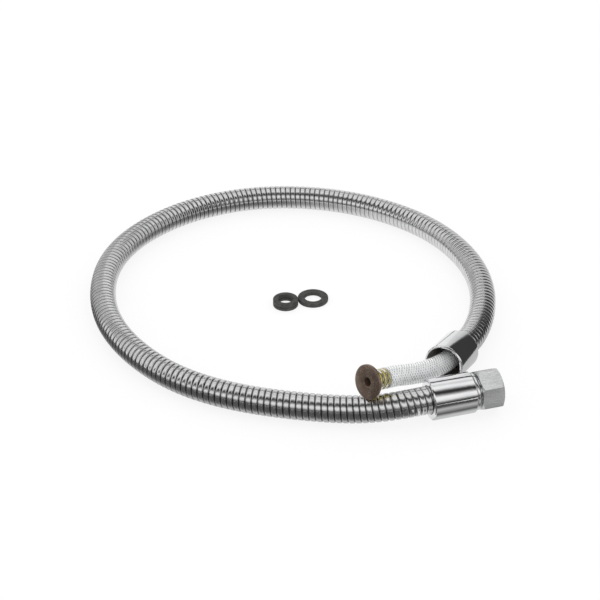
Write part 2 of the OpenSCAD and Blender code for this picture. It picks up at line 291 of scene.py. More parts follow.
def plain_steel_material(name):
    """Turned steel, for the ferrules."""
    made, tree, shader = material(name, Metallic=1.0, Roughness=0.25)
    soft = noise(tree, 300)
    drive(tree, shader, "Base Color", soft, [(0.3, (0.50, 0.50, 0.50)), (0.7, (0.64, 0.64, 0.63))])
    drive(tree, shader, "Roughness", soft, [(0.3, 0.2), (0.7, 0.34)])
    bump(tree, shader, noise(tree, 2500, 4), 0.00004, 0.4)
    return made


def nut_material(name):
    """Satin plate with fine streaks along the nut's own axis."""
    made, tree, shader = material(name, Metallic=1.0, Roughness=0.3)
    place_in = node(tree, "TexCoord").outputs["Object"]
    across, side, along = [
        node(tree, "VectorMath", {0: place_in, 1: tuple(axis)},
             operation="DOT_PRODUCT").outputs["Value"] for axis in AT_INLET[0].T]
    stretched = node(tree, "Math", {0: along, 1: 0.06}, operation="MULTIPLY").outputs[0]
    joined = node(tree, "CombineXYZ", {"X": across, "Y": side, "Z": stretched}).outputs[0]
    streak = node(tree, "TexNoise", {"Vector": joined, "Scale": 2200.0,
                                     "Detail": 4.0}).outputs["Fac"]
    spots = noise(tree, 700, 4)
    drive(tree, shader, "Base Color", spots,
          [(0.3, (0.66, 0.67, 0.67)), (0.7, (0.76, 0.765, 0.765))])
    drive(tree, shader, "Roughness", streak, [(0.3, 0.22), (0.75, 0.42)])
    first = bump(tree, shader, streak, 0.00004, 0.5)
    bump(tree, shader, spots, 0.00008, 0.3, first)
    return made


def bronze_material(name):
    """Aged brown bronze, for the flange on the drawn-out end."""
    made, tree, shader = material(name, Metallic=0.85, Roughness=0.3)
    blotch = noise(tree, 260, 5, 0.65)
    fine = noise(tree, 1500, 4)
    drive(tree, shader, "Base Color", blotch, [
        (0.3, (0.215, 0.155, 0.118)), (0.55, (0.27, 0.20, 0.158)), (0.75, (0.36, 0.285, 0.225))])
    drive(tree, shader, "Roughness", fine, [(0.3, 0.16), (0.7, 0.3)])
    first = bump(tree, shader, blotch, 0.0002, 0.25)
    bump(tree, shader, fine, 0.00004, 0.4, first)
    return made


def brass_material(name):
    """Bright brass, for the flange inside the nut."""
    made, tree, shader = material(name, Metallic=1.0, Roughness=0.2)
    blotch = noise(tree, 420, 4)
    drive(tree, shader, "Base Color", blotch,
          [(0.3, (0.60, 0.45, 0.10)), (0.7, (0.86, 0.70, 0.25))])
    drive(tree, shader, "Roughness", noise(tree, 2000, 4), [(0.3, 0.12), (0.7, 0.26)])
    bump(tree, shader, blotch, 0.0001, 0.3)
    return made


def shank_material(name):
    """Brass with painted shade in the grooves between its barbs."""
    made, tree, shader = material(name, Metallic=1.0, Roughness=0.2)
    blotch = noise(tree, 500, 4)
    worn = ramp(tree, blotch, [(0.3, (0.56, 0.43, 0.03)), (0.7, (0.94, 0.78, 0.12))])
    # Painted shade: the colour goes darker down between the barbs.
    paint_shade_by(tree, shader, worn, "crest", [(0.0, 0.14), (0.5, 0.55), (0.9, 1.0)])
    drive(tree, shader, "Roughness", blotch, [(0.3, 0.12), (0.7, 0.3)])
    bump(tree, shader, blotch, 0.0003, 0.5)
    return made


def rubber_material(name):
    """Black rubber with a fine grain and a little dust."""
    made, tree, shader = material(name, Roughness=0.6)
    shader.inputs["Specular IOR Level"].default_value = 0.35
    grain = noise(tree, 1800, 5, 0.65)
    drive(tree, shader, "Base Color", noise(tree, 320, 4),
          [(0.35, (0.038, 0.038, 0.037)), (0.75, (0.078, 0.078, 0.074))])
    drive(tree, shader, "Roughness", grain, [(0.3, 0.5), (0.7, 0.75)])
    bump(tree, shader, grain, 0.00008, 0.6)
    return made


def clear_material(name):
    """Clear soft plastic, for the liner's jacket."""
    made, tree, shader = material(name, Roughness=0.02, IOR=1.45)
    shader.inputs["Transmission Weight"].default_value = 1.0
    haze = noise(tree, 220, 3)
    drive(tree, shader, "Base Color", haze, [(0.3, (0.975, 0.985, 0.99)), (0.7, (1.0, 1.0, 1.0))])
    drive(tree, shader, "Roughness", haze, [(0.3, 0.02), (0.7, 0.04)])
    bump(tree, shader, noise(tree, 420, 2), 0.0002, 0.15)
    return made


def milky_material(name):
    """The inner tube: milky and partly clear, and quite clear over the shank."""
    made, tree, shader = material(name, Roughness=0.2)
    haze = noise(tree, 260, 3)
    drive(tree, shader, "Base Color", haze,
          [(0.3, (0.68, 0.70, 0.715)), (0.7, (0.82, 0.835, 0.84))])
    drive(tree, shader, "Roughness", haze, [(0.3, 0.15), (0.7, 0.3)])
    bare = node(tree, "Attribute", attribute_name="bare").outputs["Fac"]
    drive(tree, shader, "Alpha", bare, [(0.0, 0.72), (1.0, 0.02)])
    return made


def yarn_material(name):
    """White yarn, with its threads running along each strand."""
    made, tree, shader = material(name, Roughness=0.4)
    shader.inputs["Sheen Weight"].default_value = 0.25
    thread = noise(tree, 40, 3, 0.6, (14, 0.6, 1), "UV")
    drive(tree, shader, "Base Color", thread,
          [(0.3, (0.86, 0.875, 0.88)), (0.65, (0.96, 0.965, 0.965))])
    drive(tree, shader, "Roughness", thread, [(0.3, 0.32), (0.7, 0.55)])
    bump(tree, shader, thread, 0.00008, 0.6)
    return made


def shaded_inside_material(name, metallic, rough, scale, tones, roughs):
    """An inner face, partly a duller finish where little plating or polish reaches and partly
    painted shade, dark as the inside of a bore.
    """
    made, tree, shader = material(name, Metallic=metallic, Roughness=rough)
    stain_and_shade = noise(tree, scale, 4)
    drive(tree, shader, "Base Color", stain_and_shade, [(0.3, tones[0]), (0.7, tones[1])])
    drive(tree, shader, "Roughness", stain_and_shade, [(0.3, roughs[0]), (0.7, roughs[1])])
    bump(tree, shader, noise(tree, 1600, 4), 0.00005, 0.4)
    return made


chrome = chrome_material("chrome_plate")
# Painted shade inside the collars' threaded bores and the inserts' waterways.
shaded_bore = shaded_inside_material("shaded_bore", 1.0, 0.35, 240,
                          [(0.10, 0.092, 0.085), (0.24, 0.225, 0.21)], (0.28, 0.5))
shaded_waterway = shaded_inside_material("shaded_waterway", 0.6, 0.5, 300,
                              [(0.05, 0.028, 0.016), (0.12, 0.07, 0.042)], (0.4, 0.6))
steel = steel_material("wound_steel")
plain_steel = plain_steel_material("plain_steel")
nut_finish = nut_material("satin_nut")
bronze = bronze_material("aged_bronze")
brass = brass_material("bright_brass")
shank_brass = shank_material("ridged_brass")
rubber = rubber_material("black_rubber")
clear_jacket = clear_material("clear_jacket")
milky_core = milky_material("milky_core")
yarn = yarn_material("white_yarn")

# ---- Mesh tools ----


def weld(points, faces, grain=1e-4):
    """Joins points that lie on each other, and drops the faces that this leaves empty."""
    points = np.asarray(points, float)
    key = np.round(points / grain).astype(np.int64)
    _, first, index = np.unique(key, axis=0, return_index=True, return_inverse=True)
    index = index.ravel()
    kept = []
    for face in faces:
        loop = [int(index[v]) for v in face]
        loop = [v for i, v in enumerate(loop) if v != loop[i - 1]]
        if len(set(loop)) > 2:
            kept.append(loop)
    used = sorted({v for face in kept for v in face})
    new = {v: i for i, v in enumerate(used)}
    return points[first][used], [[new[v] for v in face] for face in kept], first[used]


def piece(name, points, faces, finish, body, slot, where=None, sharp=35.0):
    """A visible piece from millimetres, placed in the scene and carried by its body."""
    points = np.asarray(points, float)
    if where is not None:
        points = points @ where[0].T + where[1]
    mesh = bpy.data.meshes.new(name)
    mesh.from_pydata((points * MM).tolist(), [], [list(f) for f in faces])
    mesh.materials.append(finish)
    mesh.update()
    mesh.shade_smooth()
    mesh.set_sharp_from_angle(angle=math.radians(sharp))
    made = bpy.data.objects.new(name, mesh)
    bpy.context.scene.collection.objects.link(made)
    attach(made, body)
    return made


def mark_points(made, name, values):
    """Gives every point of a piece a value that its material reads."""
    mark = made.data.attributes.new(name, "FLOAT", "POINT")
    mark.data.foreach_set("value", np.asarray(values).astype(np.float32))


def line_bore(made, points, faces, finish, inside_r, low, high):
    """Gives the faces inside a radius, and between two heights, a second material."""
    made.data.materials.append(finish)
    middles = np.array([points[list(face)].mean(axis=0) for face in faces])
    inside = np.hypot(middles[:, 0], middles[:, 1]) < inside_r
    inside &= (middles[:, 2] > low) & (middles[:, 2] < high)
    made.data.polygons.foreach_set("material_index", inside.astype(np.int32))


def soften(profile, radius, steps=3):
    """A closed profile of (r, z) with each corner rounded off."""
    p = [np.array(q, float) for q in profile]
    out = []
    for i, corner in enumerate(p):
        before, after = p[i - 1] - corner, p[(i + 1) % len(p)] - corner
        lb, la = np.linalg.norm(before), np.linalg.norm(after)
        cut = min(radius, 0.45 * lb, 0.45 * la)
        a, b = corner + before / lb * cut, corner + after / la * cut
        for k in range(steps + 1):
            t = k / steps
            out.append((1 - t) ** 2 * a + 2 * t * (1 - t) * corner + t ** 2 * b)
    return out


def even_angles(sides):
    """Angles that divide a full turn evenly."""
    return np.arange(sides) * 2 * math.pi / sides


def lathe(profile, angles, closed=True):
    """Points and faces of an outline of (r, z) that goes anticlockwise, turned round +Z."""
    p = np.array(profile, float)
    n, m = len(p), len(angles)
    ring = np.stack([np.cos(angles), np.sin(angles)], -1)
    points = np.empty((m, n, 3))
    points[:, :, :2] = ring[:, None, :] * p[None, :, :1]
    points[:, :, 2] = p[None, :, 1]
    faces = []
    for k in range(m):
        k2 = (k + 1) % m
        for j in range(n if closed else n - 1):
            j2 = (j + 1) % n
            faces.append((k * n + j, k2 * n + j, k2 * n + j2, k * n + j2))
    return points.reshape(-1, 3), faces


def helix(line, start, length, pitch, rib, angles, end_r, inward=False):
    """A surface of ribs that wind round a line: points, faces, and each point's height on its rib.

    rib is a list of (share of the pitch, radius); both ends run out to the radius end_r.
    """
    rows, sides = len(rib), len(angles)
    shares, radii = np.array(rib, float).T
    turns = int(math.ceil(length / pitch)) + 2
    k = np.arange(turns * sides + 1)
    angle = angles[k % sides] + 2 * math.pi * (k // sides)
    turned = (angle - angles[0]) / (2 * math.pi) - 1
    s = (turned[:, None] + shares[None, :]) * pitch
    radius = np.broadcast_to(radii[None, :], s.shape)
    off = (s <= 0) | (s >= length)
    radius = np.where(off, end_r, radius)
    s = np.clip(s, 0, length)
    centre, side, up = line((s + start).ravel())
    a = np.repeat(angle, rows)[:, None]
    points = centre + radius.ravel()[:, None] * (np.cos(a) * side + np.sin(a) * up)
    off = off.ravel()
    faces = []
    for c in range(len(k) - 1):
        for j in range(rows):
            if j < rows - 1:
                face = (c * rows + j, (c + 1) * rows + j, (c + 1) * rows + j + 1, c * rows + j + 1)
            elif c + 1 + sides < len(k):
                face = (c * rows + j, (c + 1) * rows + j,
                        (c + 1 + sides) * rows, (c + sides) * rows)
            else:
                continue
            if not (off[face[0]] and off[face[1]] and off[face[2]] and off[face[3]]):
                faces.append(face[::-1] if inward else face)
    crest = np.where(off, 0.0, (radius.ravel() - radii.min()) / (radii.max() - radii.min()))
    return points, faces, crest


def rings(line, runs, radius, sides, inward=False):
    """A skin of rings round a line."""
    runs = np.asarray(runs, float)
    centre, side, up = line(runs)
    a = even_angles(sides)
    r = np.broadcast_to(np.asarray(radius, float), (len(runs), sides))
    points = (centre[:, None, :] + r[:, :, None] * (np.cos(a)[None, :, None] * side[:, None, :]
                                                   + np.sin(a)[None, :, None] * up[:, None, :]))
    faces = []
    for i in range(len(runs) - 1):
        for k in range(sides):
            k2 = (k + 1) % sides
            face = (i * sides + k, i * sides + k2, (i + 1) * sides + k2, (i + 1) * sides + k)
            faces.append(face[::-1] if inward else face)
    return points.reshape(-1, 3), faces


def annulus(line, s, outer_r, inner_r, sides, first):
    """The flat end of a tube."""
    centre, side, up = line(np.array([s, s], float))
    a = even_angles(sides)[:, None]
    around = np.cos(a) * side[0] + np.sin(a) * up[0]
    points = np.vstack([centre[0] + outer_r * around, centre[0] + inner_r * around])
    faces = []
    for k in range(sides):
        k2 = (k + 1) % sides
        face = (k, sides + k, sides + k2, k2)
        faces.append(face if first else face[::-1])
    return points, faces


def join(*parts):
    """Several (points, faces) as one."""
    points, faces, base = [], [], 0
    for part in parts:
        points.append(part[0])
        faces += [tuple(v + base for v in face) for face in part[1]]
        base += len(part[0])
    return np.vstack(points), faces


def tube(line, runs, outer_r, inner_r, sides):
    """A closed tube between two radii."""
    parts = [rings(line, runs, outer_r, sides), rings(line, runs, inner_r, sides, True)]
    points, faces = join(*parts)
    n, m = len(runs), len(runs) * sides
    for k in range(sides):
        k2 = (k + 1) % sides
        faces.append((k, m + k, m + k2, k2))
        top = (n - 1) * sides
        faces.append((top + k2, m + top + k2, m + top + k, top + k))
    return points, faces


# ---- The armour: one strip wound into ribs with flat tops and a thin raised lip ----

ARMOUR_SIDES, ARMOUR_BORE_STEPS = 44, 150
# One rib, from its groove over the lip and the flat top: (share of the pitch, radius).
RIB = [
    (0.00, 8.70), (0.045, 8.74), (0.075, 9.1), (0.10, 9.42), (0.135, 9.54), (0.175, 9.53),
    (0.21, 9.46), (0.28, 9.45), (0.5, 9.48), (0.72, 9.44), (0.80, 9.34), (0.87, 9.1),
    (0.925, 8.78)]
wound = helix(armour_line, 0, armour_line.length, ARMOUR_PITCH, RIB, even_angles(ARMOUR_SIDES),
              ARMOUR_END_R)
bore_runs = np.linspace(0, armour_line.length, ARMOUR_BORE_STEPS)
armour_parts = join(
    wound[:2], rings(armour_line, bore_runs, ARMOUR_BORE_R, ARMOUR_SIDES, True),
    annulus(armour_line, 0, ARMOUR_END_R, ARMOUR_BORE_R, ARMOUR_SIDES, True),
    annulus(armour_line, armour_line.length, ARMOUR_END_R, ARMOUR_BORE_R, ARMOUR_SIDES, False))
armour_points, armour_faces, kept = weld(*armour_parts)
crest = np.concatenate([wound[2], np.zeros(len(armour_parts[0]) - len(wound[2]))])[kept]
armour = piece("armour_strip", armour_points, armour_faces, steel, "hose", "armour", sharp=60)
mark_points(armour, "crest", crest)
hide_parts("armour")

# ---- The liner: inner tube, yarn braid and clear jacket ----

LINER_SIDES, HIDDEN_STEP, SHOWN_STEPS = 64, 6.0, 150
BRAID_FROM = drawn_from - 6           # the yarns are modelled one by one from here on
YARNS, BRAID_PITCH, YARN_HALF, YARN_THICK, YARN_STEP = 12, 26.0, 0.43, 0.14, 0.42
# How far a yarn rises over the next, turns off its place and sways (radians), and the share of
# its width that it loses over the shank.
YARN_OVER, YARN_DRIFT, YARN_WAVE, YARN_CLEAR = 0.10, 0.035, 0.02, 0.97
SHANK_SHOWN = 16                      # the yarns and the inner tube clear this far from the end
CORE_TUBE_R, PRESSED_R = 5.0, 4.22    # the inner tube's outside; the jacket's inside on the shank
SLEEVE_HALF, SLEEVE_SIDES, SLEEVE_GAP, TUBE_GAP, SWELL = 0.2, 24, 0.08, 0.05, 0.03
hidden_runs = np.arange(0, BRAID_FROM, HIDDEN_STEP)
liner_runs = np.concatenate([hidden_runs, np.linspace(BRAID_FROM, liner_line.length, SHOWN_STEPS)])


def over_shank(s):
    """How far the liner's layers have cleared: 0 before the shank and 1 over it."""
    return np.clip((s - liner_line.length + SHANK_SHOWN) / 2, 0, 1)


bare = over_shank(liner_runs)
core_parts = tube(liner_line, liner_runs, CORE_TUBE_R, LINER_BORE_R, LINER_SIDES)
core = piece("liner_inner_tube", *core_parts, milky_core, "hose", "liner_core", sharp=60)
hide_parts("liner_core")
core.visible_shadow = False
mark_points(core, "bare", np.tile(np.repeat(bare, LINER_SIDES), 2))


def yarn_strands():
    """The yarns of the braid, each a flat strand that goes over and under the others."""
    s = np.arange(BRAID_FROM, liner_line.length, YARN_STEP)
    section = [(-1.0, 0.0), (-0.6, 0.8), (0.0, 1.0), (0.6, 0.8), (1.0, 0.0), (0.0, -0.7)]
    lean = math.atan(2 * math.pi * YARN_R / BRAID_PITCH)
    n, m = len(s), len(section)
    points, faces, uvs, base = [], [], [], 0
    for hand in (1, -1):
        for i in range(YARNS):
            angle = 2 * math.pi * (i / YARNS + hand * (s - BRAID_FROM) / BRAID_PITCH)
            angle = (angle + rng.normal(0, YARN_DRIFT)
                     + YARN_WAVE * np.sin(s / 5.0 + rng.uniform(0, 6)))
            # Over the shank the yarns are stretched thin and wetted by the jacket.
            half = YARN_HALF * rng.uniform(0.8, 1.25) * (1 - YARN_CLEAR * over_shank(s))
            weave = np.cos(2 * math.pi * YARNS * (s - BRAID_FROM) / BRAID_PITCH)
            over = hand * YARN_OVER * weave
            strand = []
            for across, high in section:
                # A width across the strand is a turn and a step back along the line.
                turned = (angle + across * half * math.cos(lean) / YARN_R)[:, None]
                back = -hand * across * half * math.sin(lean)
                r = (YARN_R + over + high * YARN_THICK)[:, None]
                centre, side, up = liner_line(np.clip(s + back, BRAID_FROM, liner_line.length))
                strand.append(centre + r * (np.cos(turned) * side + np.sin(turned) * up))
            points.append(np.stack(strand, 1).reshape(-1, 3))
            for q in range(n - 1):
                for j in range(m):
                    j2 = (j + 1) % m
                    face = (q * m + j, q * m + j2, (q + 1) * m + j2, (q + 1) * m + j)
                    faces.append(tuple(base + v for v in face))
            faces.append(tuple(base + j for j in reversed(range(m))))
            faces.append(tuple(base + (n - 1) * m + j for j in range(m)))
            uvs += [(j / m, q * YARN_STEP) for q in range(n) for j in range(m)]
            base += n * m
    return np.vstack(points), faces, uvs


strand_points, strand_faces, strand_uvs = yarn_strands()
sleeve = tube(liner_line, np.concatenate([hidden_runs, [BRAID_FROM]]),
              YARN_R + SLEEVE_HALF, YARN_R - SLEEVE_HALF, SLEEVE_SIDES)
braid_points, braid_faces = join((strand_points, strand_faces), sleeve)
braid = piece("liner_yarn_braid", braid_points, braid_faces, yarn, "hose", "yarn", sharp=50)
uv_by_point = strand_uvs + [(0.0, 0.0)] * len(sleeve[0])
uv_layer = braid.data.uv_layers.new(name="strand")
loop_points = np.empty(len(braid.data.loops), np.int32)
braid.data.loops.foreach_get("vertex_index", loop_points)
uv_layer.data.foreach_set("uv", np.array(uv_by_point, np.float32)[loop_points].ravel())
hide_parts("liner_braid")

# The clear jacket is moulded round the yarns, and is pressed on the shank's barbs.
around = even_angles(LINER_SIDES)[None, :]
wind = 2 * math.pi * (liner_runs[:, None] - BRAID_FROM) / BRAID_PITCH
swell = np.cos(YARNS * (around - wind)) * np.cos(YARNS * (around + wind))
jacket_outer = JACKET_R + np.where(liner_runs[:, None] > BRAID_FROM, SWELL * swell - SWELL, 0)
jacket_inner = np.where(liner_runs < BRAID_FROM, JACKET_IN_R + SLEEVE_GAP,
                        CORE_TUBE_R + TUBE_GAP - (CORE_TUBE_R + TUBE_GAP - PRESSED_R) * bare)
jacket_parts = tube(liner_line, liner_runs, jacket_outer, jacket_inner[:, None], LINER_SIDES)
jacket = piece("liner_clear_jacket", *jacket_parts, clear_jacket, "hose", "clear_jacket", sharp=60)
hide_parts("liner_jacket")
# Light reaches the braid straight through the clear jacket.
jacket.visible_shadow = False
jacket.visible_diffuse = False

# ---- Turned pieces ----

TURNED = even_angles(160)
COLLAR_CHAMFER, THREAD_STOP = 0.8, 0.35
COLLAR_THREAD_END, NUT_THREAD_END = 0.55, 0.6      # past the bore, where each thread runs out


def collar(name, replaced, where, body):
    """Lip, wall and mouth of a collar, with the thread in its bore."""
    c = COLLAR_CHAMFER
    end_r, thread_to = COLLAR_BORE_R + COLLAR_THREAD_END, MOUTH - THREAD_STOP
    root_r = COLLAR_BORE_R + COLLAR_THREAD_DEEP
    outside = soften([
        (LIP_HOLE_R, LIP_FRONT), (LIP_HOLE_R, LIP_BACK), (COLLAR_R - c, LIP_BACK),
        (COLLAR_R, LIP_BACK + c), (COLLAR_R, MOUTH - c), (COLLAR_R - c, MOUTH),
        (COLLAR_BORE_R + c, MOUTH), (COLLAR_BORE_R, MOUTH - c)], 0.3)[4:-4]
    wall = lathe([(end_r, LIP_FRONT), (LIP_HOLE_R, LIP_FRONT), *outside, (end_r, thread_to)],
                 TURNED, closed=False)
    rib = [(0.0, COLLAR_BORE_R), (0.12, COLLAR_BORE_R), (0.45, root_r), (0.62, root_r),
           (0.9, COLLAR_BORE_R)]
    thread = helix(own_axis, LIP_FRONT, thread_to - LIP_FRONT, COLLAR_THREAD_PITCH, rib, TURNED,
                   end_r, inward=True)
    points, faces, _ = weld(*join(wall, thread[:2]))
    made = piece(name, points, faces, chrome, body, "collar", where, sharp=30)
    line_bore(made, points, faces, shaded_bore, root_r, LIP_FRONT - 0.05, MOUTH - 0.4)
    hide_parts(replaced)


collar("inlet_collar_shell", "inlet_collar", AT_INLET, "hose")
collar("outlet_collar_shell", "outlet_collar", AT_OUTLET, "outlet")

shoulder_top = MOUTH + SHOULDER_LEN
adaptor_profile = soften([
    (ADAPTOR_BORE_R, FERRULE_FLANGE), (SPIGOT_R, FERRULE_FLANGE), (SPIGOT_R, MOUTH - 0.8),
    (SHOULDER_R - 0.5, MOUTH + 0.05), (SHOULDER_R, MOUTH + 0.7), (SHOULDER_R, shoulder_top - 0.9),
    (SHOULDER_R - 0.9, shoulder_top), (NECK_R, shoulder_top), (NECK_R, SWIVEL_BACK),
    (SWIVEL_R, SWIVEL_BACK), (SWIVEL_R, INLET_SEAT), (ADAPTOR_BORE_R, INLET_SEAT)], 0.35)
adaptor = piece("inlet_adaptor_turned", *lathe(adaptor_profile, TURNED), chrome, "hose", "collar",
                AT_INLET, sharp=30)
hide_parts("inlet_adaptor")

WATERWAY_WALL, STEP_PITCH, STEP_DEEP = 0.3, 1.3, 0.5


def insert(name, replaced, where, flange_r, flange, flange_finish, flange_slot):
    """A flange and, behind it, a barbed shank; z = 0 is the flange's outer face."""
    end = -flange - BARBS * BARB_LEN
    bore_r, step_r = WATERWAY_R + WATERWAY_WALL, WATERWAY_R - STEP_DEEP
    # The flange's own bore runs on as a thin sleeve with shallow turned steps.
    disc = [(bore_r, end + 0.5), (bore_r, -flange), (flange_r, -flange), (flange_r, 0),
            (WATERWAY_R + 0.25, 0), (WATERWAY_R, -0.25)]
    for z in np.arange(-1.0, end + 2.5, -STEP_PITCH):
        disc += [(WATERWAY_R, z), (step_r, z - 0.3), (step_r, z - 0.7), (WATERWAY_R, z - 0.95)]
    disc += [(WATERWAY_R, end + 0.5)]
    points, faces = lathe(soften(disc, 0.3, 3), TURNED)
    plate = piece(name + "_flange", points, faces, flange_finish, "hose", flange_slot, where,
                  sharp=40)
    line_bore(plate, points, faces, shaded_waterway, WATERWAY_R + 0.05, end, -0.3)
    outline = [(bore_r + 0.02, -flange - 0.02), (SHANK_R, -flange - 0.02)]
    for k in range(BARBS):
        z = -flange - k * BARB_LEN
        outline += [(SHANK_R, z - 1.0), (BARB_R, z - 1.6), (BARB_R, z - 1.9),
                    (SHANK_R, z - BARB_LEN + 0.1)]
    outline += [(SHANK_R - 0.4, end), (bore_r + 0.02, end)]
    points, faces = lathe(soften(outline, 0.12, 2), even_angles(96))
    shank = piece(name + "_shank", points, faces, shank_brass, "hose", "brass", where, sharp=40)
    ridge = (np.hypot(points[:, 0], points[:, 1]) - SHANK_R) / (BARB_R - SHANK_R)
    mark_points(shank, "crest", np.clip(ridge, 0, 1))
    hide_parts(replaced)
    return plate, shank


outlet_flange, outlet_shank = insert("outlet_insert", "outlet_insert", AT_INSERT,
                                     OUTLET_FLANGE_R, OUTLET_FLANGE, bronze, "bronze")
seat = (AT_INLET[0], AT_INLET[1] + (INLET_SEAT + INLET_FLANGE) * AT_INLET[0][:, 2])
insert("inlet_insert", "inlet_insert", seat, INLET_FLANGE_R, INLET_FLANGE, brass, "brass")


def nut_outline():
    """The hexagon seen along its axis, with rounded corners."""
    hub = NUT_CORNER_R - NUT_ROUND / math.cos(math.radians(30))

    def corner(i, t):
        """A point on a corner's rounding, t degrees from its middle."""
        mid, a = math.radians(NUT_TURN + 60 * i), math.radians(NUT_TURN + 60 * i + t)
        return np.array([hub * math.cos(mid) + NUT_ROUND * math.cos(a),
                         hub * math.sin(mid) + NUT_ROUND * math.sin(a)])

    outline = []
    for i in range(6):
        outline += [corner(i, t) for t in np.linspace(-30, 30, 7)]
        start, stop = corner(i, 30), corner(i + 1, -30)
        outline += [start + (stop - start) * t for t in [0.01, *np.linspace(0.06, 0.94, 15), 0.99]]
    return np.array(outline)


def nut_piece():
    """The hexagon with its corners turned off at both ends, and a threaded bore."""
    outline = nut_outline()
    far = np.linalg.norm(outline, axis=1)
    unit = outline / far[:, None]
    angles = np.unwrap(np.arctan2(outline[:, 1], outline[:, 0]))
    face_r, lip_r, end_r = NUT_AF / 2 - 0.2, NUT_BORE_R - 0.42, NUT_BORE_R + NUT_THREAD_END
    root_r = NUT_BORE_R + NUT_THREAD_DEEP
    cut = (far - face_r) * math.tan(math.radians(30))
    z0, z1 = NUT_BACK, NUT_BACK + NUT_LEN
    relief_to, thread_to = INLET_SEAT + INLET_FLANGE, z1 - 0.5

    def level(r, z):
        """A round row of points at one height."""
        return np.full_like(far, r), np.full_like(far, z)

    def sheet(rows):
        """The surface through rows of points round the nut."""
        points = np.vstack([np.column_stack([unit * r[:, None], z]) for r, z in rows])
        n = len(far)
        faces = []
        for i in range(len(rows) - 1):
            for k in range(n):
                k2 = (k + 1) % n
                faces.append((i * n + k, i * n + k2, (i + 1) * n + k2, (i + 1) * n + k))
        return points, faces

    outside = sheet([
        level(lip_r, z0), level(face_r, z0), (far, z0 + cut), (far, z1 - cut), level(face_r, z1),
        level(NUT_BORE_R + 1.1, z1), level(end_r, thread_to)])
    inside = sheet([
        level(end_r, relief_to), level(NUT_RELIEF_R, relief_to), level(NUT_RELIEF_R, z0 + NUT_LIP),
        level(lip_r, z0 + NUT_LIP), level(lip_r, z0)])
    rib = [(0.0, NUT_BORE_R), (0.1, NUT_BORE_R), (0.45, root_r), (0.6, root_r), (0.92, NUT_BORE_R)]
    thread = helix(own_axis, relief_to, thread_to - relief_to, NUT_THREAD_PITCH, rib, angles, end_r,
                   inward=True)
    points, faces, _ = weld(*join(outside, inside, thread[:2]))
    made = piece("swivel_nut_hexagon", points, faces, nut_finish, "nut", "nut", AT_INLET, sharp=25)
    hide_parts("swivel_nut")


nut_piece()

# ---- Washers ----

# Each size is (outer radius, bore radius, thickness).
SMALL_WASHER, LARGE_WASHER = (9.5, 5.5, 2.8), (11.5, 6.35, 3.1)


def washer(name, replaced, at, z, size, body):
    """A flat rubber ring with rounded edges, not quite round, as moulded washers are."""
    outer_r, bore_r, thick = size
    section = [(bore_r, z), (outer_r, z), (outer_r, z + thick), (bore_r, z + thick)]
    points, faces = lathe(soften(section, 0.75, 6), even_angles(120))
    turn = np.arctan2(points[:, 1], points[:, 0])
    points[:, :2] *= (1 + 0.004 * np.cos(2 * turn + outer_r))[:, None]
    made = piece(name, points + np.array([*at, 0.0]), faces, rubber, body, "washer", sharp=60)
    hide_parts(replaced)


washer("small_washer_low", "small_washer_lower", SMALL_WASHERS_AT, 0, SMALL_WASHER, "lower_washer")
washer("small_washer_high", "small_washer_upper", SMALL_WASHERS_AT, SMALL_WASHER[2], SMALL_WASHER,
       "upper_washer")
washer("large_washer_flat", "large_washer", LARGE_WASHER_AT, 0, LARGE_WASHER, "big_washer")

# ---- CAD nodes that stay ----

for name in ("inlet_ferrule", "outlet_ferrule"):
    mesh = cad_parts[name].data
    mesh.materials.clear()
    mesh.materials.append(plain_steel)

# ---- Floor, light and what the metal reflects ----


def stage_mesh(name, points, faces, finish):
    """A stage piece, in metres."""
    mesh = bpy.data.meshes.new(name)
    mesh.from_pydata(points, [], faces)
    mesh.materials.append(finish)
    made = bpy.data.objects.new(name, mesh)
    bpy.context.scene.collection.objects.link(made)
    return made


def emission_material(name, strength):
    """A white glow: (material, node tree, emission node, the surface's input)."""
    made = bpy.data.materials.new(name)
    made.use_nodes = True
    tree = made.node_tree
    tree.nodes.clear()
    surface = node(tree, "OutputMaterial").inputs["Surface"]
    glow = node(tree, "Emission", {"Color": (1, 1, 1, 1), "Strength": strength})
    tree.links.new(glow.outputs[0], surface)
    made.cycles.emission_sampling = "NONE"
    return made, tree, glow, surface


FLOOR_HALF, FLOOR_Z, FLOOR_GLOW, FLOOR_GREY = 3.5, -0.0001, 0.82, 0.19
floor_finish, tree, glow, surface = emission_material("pale_floor", FLOOR_GLOW)
matt = node(tree, "BsdfDiffuse", {"Color": (FLOOR_GREY, FLOOR_GREY, FLOOR_GREY, 1)})
both = node(tree, "AddShader", {0: glow.outputs[0], 1: matt.outputs[0]})
tree.links.new(both.outputs[0], surface)
corners = [(-1, -1), (1, -1), (1, 1), (-1, 1)]
stage_mesh("floor", [(x * FLOOR_HALF, y * FLOOR_HALF, FLOOR_Z) for x, y in corners],
           [(0, 1, 2, 3)], floor_finish)

# Painted reflections: a tent of pale and dark strips that run along X, which stand for softboxes
# and dark flags; it lights nothing and is seen only in the metal's reflections.
# Each stop is (degrees round the X axis, from the camera's side over the top, brightness).
STRIPS = [
    (0, 0.06), (5, 0.06), (11, 0.15), (17, 0.45), (22, 0.83), (29, 1.02), (35, 1.06), (41, 1.14),
    (47, 0.80), (52, 0.46), (58, 0.18), (64, 0.04), (70, 0.035), (75, 0.08), (80, 0.36),
    (86, 0.80), (93, 1.10), (101, 1.08), (109, 0.80), (116, 0.86), (124, 1.12), (131, 0.85),
    (133, 0.80), (134.5, 0.05), (142, 0.05), (143.5, 0.85), (152, 0.95), (180, 1.0)]
TENT_R, TENT_GAIN, TENT_FROM, TENT_SPAN = 5.0, 1.2, -6, 96
TENT_UP, TENT_ROUND = 24, 48
tent_finish, tree, glow, _ = emission_material("painted_reflection_strips", TENT_GAIN)
